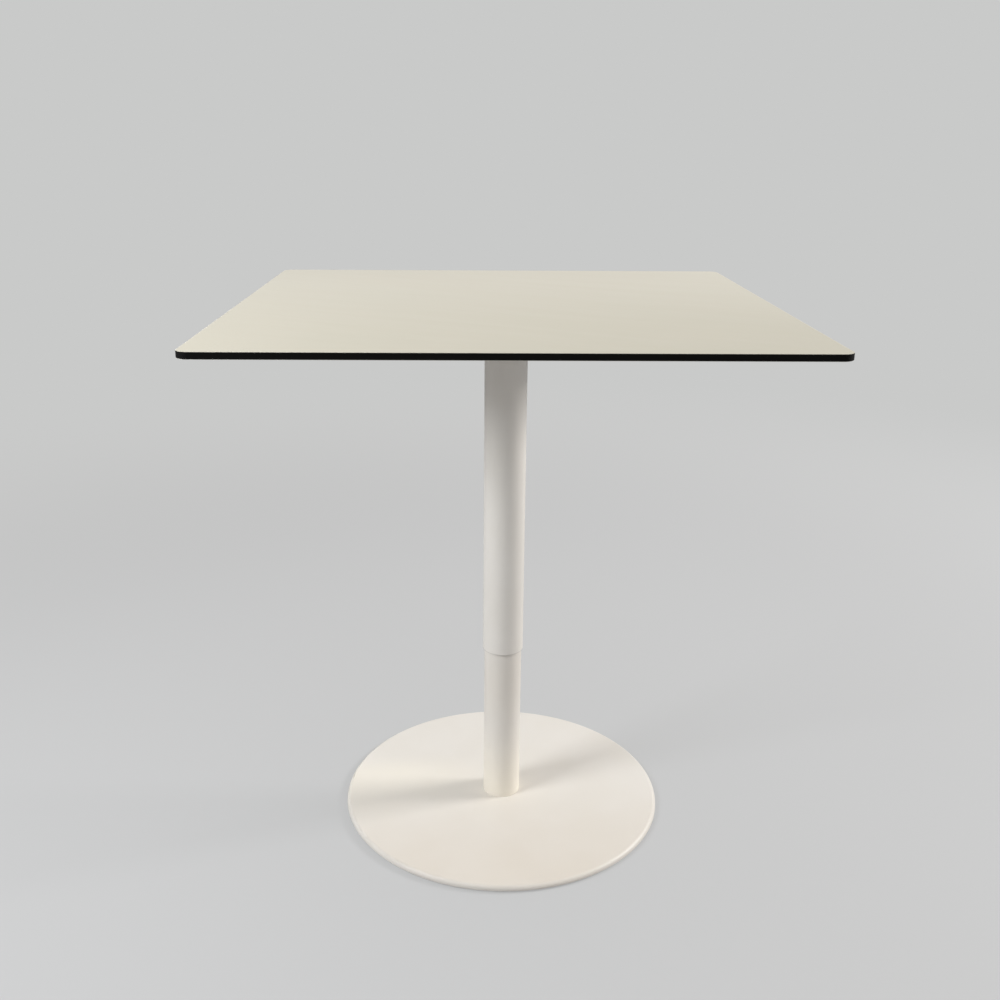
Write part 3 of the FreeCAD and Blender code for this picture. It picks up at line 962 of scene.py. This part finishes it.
def make_lever_handle():
    """The moulded handle: tapered outline, rounded edges and the fine seam where its mould parts."""
    root = 8 * mm
    tip = 14 * mm
    root_bend = 4 * mm
    tip_bend = 12 * mm
    grip_edge = 3 * mm
    edge_steps = 8
    corner_steps = 14
    seam = 0.12 * mm
    seam_half = 0.25 * mm
    outline = [
        (grip_low.x, -root, root_bend),
        (grip_high.x, -tip, tip_bend),
        (grip_high.x, tip, tip_bend),
        (grip_low.x, root, root_bend),
    ]
    profile = arris_profile(grip_low.z, grip_high.z, grip_edge, edge_steps)
    half = len(profile) // 2
    line = [(seam, grip_middle - seam_half), (0.0, grip_middle), (seam, grip_middle + seam_half)]
    below = [(inset + seam, height) for inset, height in profile[:half]]
    above = [(inset + seam, height) for inset, height in profile[half:]]
    loops = []
    for inset, height in below + line + above:
        loops.append([Vector((p.x, p.y, height)) for p in rounded_outline(outline, inset, corner_steps)])
    grip = through_loops(loops)
    pocket_low = (grip_low.x - past, -arm_side - fit, grip_middle - tongue_half - fit)
    pocket_high = (arm_high.x + fit, arm_side + fit, grip_middle + tongue_half + fit)
    pin_radius = (grip_pin_high.x - grip_pin_low.x) / 2
    pin_x = (grip_pin_low.x + grip_pin_high.x) / 2
    bar = cross_bar(pin_radius + fit, 2 * tip, cross_hole_steps)
    grip = cut_with(grip, [block(pocket_low, pocket_high), moved(bar, pin_x, 0, grip_middle)])
    add_piece("lever_handle_grip", grip, "lever", "handle_plastic", grip_plastic, "lever_handle")


def make_pin(name, node, body):
    """A cross pin with bevelled ends."""
    bevel_share = 0.16
    low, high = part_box(node)
    radius = (high.x - low.x) / 2
    bevel = radius * bevel_share
    half = (high.y - low.y) / 2
    profile = [(0, -half), (radius - bevel, -half), (radius, bevel - half)]
    profile += [(r, -h) for r, h in reversed(profile)]
    pin = laid_along_y(turned(profile, pin_steps))
    middle = (low + high) / 2
    add_piece(name, moved(pin, middle.x, middle.y, middle.z), body, "zinc_steel", zinc, node)


make_board()
make_top_plate()
make_plate_screws()
make_upper_tube()
make_column_weld()
make_lower_tube()
make_base_plate()
make_foot_screws()
make_glides()
make_lever_arm()
make_lever_handle()
make_pin("pivot_pin", "lever_pivot_pin", "tabletop")
make_pin("grip_pin", "handle_pin", "lever")

# Solids of the frame that stay, each with its finish
carried_over = {
    "threaded_inserts": brass,
    "guide_bush": acetal,
    "guide_cap": acetal,
    "cap_screws": zinc,
    "foot_plug": zinc,
    "gas_cylinder": enamel,
    "stud_nut": zinc,
    "gas_rod_guide": acetal,
    "gas_rod_seal": rubber,
    "stop_buffer": rubber,
    "gas_rod": chrome,
    "rod_nut": zinc,
    "gas_piston": casting,
    "piston_seal": rubber,
    "separator_piston": casting,
    "separator_seal": rubber,
    "release_pin": zinc,
    "valve_tappet": brass,
    "anti_twist_rod": zinc,
    "release_head": casting,
}
for node, finish in carried_over.items():
    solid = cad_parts[node]
    solid.data.materials.clear()
    solid.data.materials.append(finish)


# Floor, light and camera

backdrop_tone = (0.585, 0.590, 0.585, 1)
floor_tone = (0.395, 0.400, 0.412, 1)
floor_glow = (0.760, 0.760, 0.750, 1)
room_tone = (0.99, 0.985, 1.0, 1)
room_strength = 0.425
cool_white = (0.955, 0.98, 1.0)
lamp_white = (1.0, 0.985, 0.965)
warm_white = (1.0, 0.95, 0.87)
plain_white = (1.0, 1.0, 1.0)
floor_reach = 30.0
floor_depth = 0.02
fade_start = 1.1
fade_end = 3.2


def make_floor():
    """A plain pale floor that passes into the backdrop's tone away from the table."""
    ground = block((-floor_reach, -floor_reach, -floor_depth), (floor_reach, floor_reach, 0.0))
    floor = bpy.data.objects.new("floor", ground)
    bpy.context.scene.collection.objects.link(floor)
    f = Finish("floor")
    f.surface({"Base Color": floor_tone, "Roughness": 0.85, "Specular IOR Level": 0.2})
    away = f.mask(f.from_axis(), fade_start, fade_end)
    seen = f.node("ShaderNodeLightPath", {}, {}, "Is Camera Ray")
    tone = f.blend(away, floor_glow, backdrop_tone)
    glow = f.node("ShaderNodeEmission", {}, {"Color": tone, "Strength": 1.0})
    veil = 0.5 + 0.5 * away
    both = f.node("ShaderNodeMixShader", {}, {0: veil * seen, 1: Value(f, f.shader.outputs[0]), 2: glow})
    f.feed(f.tree.nodes["Material Output"].inputs["Surface"], both)
    floor.data.materials.append(f.material)


def make_room():
    """Even room light, and the backdrop's tone where the camera or a shiny surface looks past the floor."""
    world = bpy.data.worlds.new("room")
    bpy.context.scene.world = world
    room = Nodes(world)
    even = room.node("ShaderNodeBackground", {}, {"Color": room_tone, "Strength": room_strength})
    behind = room.node("ShaderNodeBackground", {}, {"Color": backdrop_tone})
    seen = room.node("ShaderNodeLightPath", {}, {}, "Is Camera Ray")
    mirrored = room.node("ShaderNodeLightPath", {}, {}, "Is Glossy Ray")
    either = seen.math("MAXIMUM", seen, mirrored)
    both = room.node("ShaderNodeMixShader", {}, {0: either, 1: even, 2: behind})
    room.feed(room.tree.nodes["World Output"].inputs["Surface"], both)


def soft_light(name, place, size, watts, colour):
    """A rectangular light that is aimed at the middle of the table."""
    middle = Vector((0, 0, 0.45))
    lamp = bpy.data.lights.new(name, "AREA")
    lamp.shape = "RECTANGLE"
    lamp.size, lamp.size_y = size
    lamp.energy = watts
    lamp.color = colour
    holder = bpy.data.objects.new(name, lamp)
    bpy.context.scene.collection.objects.link(holder)
    holder.visible_camera = False
    holder.location = place
    aim = middle - holder.location
    holder.rotation_euler = aim.to_track_quat("-Z", "Y").to_euler()


def make_lights():
    soft_light("left_front", (-1.35, -0.765, 1.334), size=(0.59, 0.48), watts=20.0, colour=cool_white)
    soft_light("right_back", (3.44, 0.56, 2.10), size=(1.2, 0.95), watts=107.0, colour=lamp_white)
    soft_light("ceiling", (0.2, 0.4, 3.4), size=(3.2, 3.2), watts=15.0, colour=warm_white)
    soft_light("low_left_card", (-2.5, 0.3, 0.38), size=(1.8, 0.75), watts=1.0, colour=plain_white)


def make_camera():
    """The camera that fits the photo's perspective, from its place, angles, focal length and lens middle."""
    place = (-0.0425, -1.4503, 0.9634)
    image_width = 1000
    focal_pixels = 1092.9
    lens_middle = (483.9, 490.9)
    sensor = 36.0
    heading = math.radians(0.533)
    tilt = math.radians(18.167)
    roll = math.radians(0.312)
    lens = bpy.data.cameras.new("photo_camera")
    lens.sensor_width = sensor
    lens.lens = focal_pixels / image_width * sensor
    lens.shift_x = 0.5 - lens_middle[0] / image_width
    lens.shift_y = lens_middle[1] / image_width - 0.5
    forward = Vector((
        math.sin(heading) * math.cos(tilt),
        math.cos(heading) * math.cos(tilt),
        -math.sin(tilt),
    ))
    right = Vector((math.cos(heading), -math.sin(heading), 0))
    up = right.cross(forward)
    level_right = math.cos(roll) * right + math.sin(roll) * up
    level_up = math.cos(roll) * up - math.sin(roll) * right
    axes = Matrix((level_right, level_up, -forward)).transposed().to_4x4()
    camera = bpy.data.objects.new("photo_camera", lens)
    bpy.context.scene.collection.objects.link(camera)
    camera.matrix_world = Matrix.Translation(place) @ axes
    bpy.context.scene.camera = camera


make_floor()
make_room()
make_lights()
make_camera()
bpy.context.scene.view_settings.view_transform = "Standard"
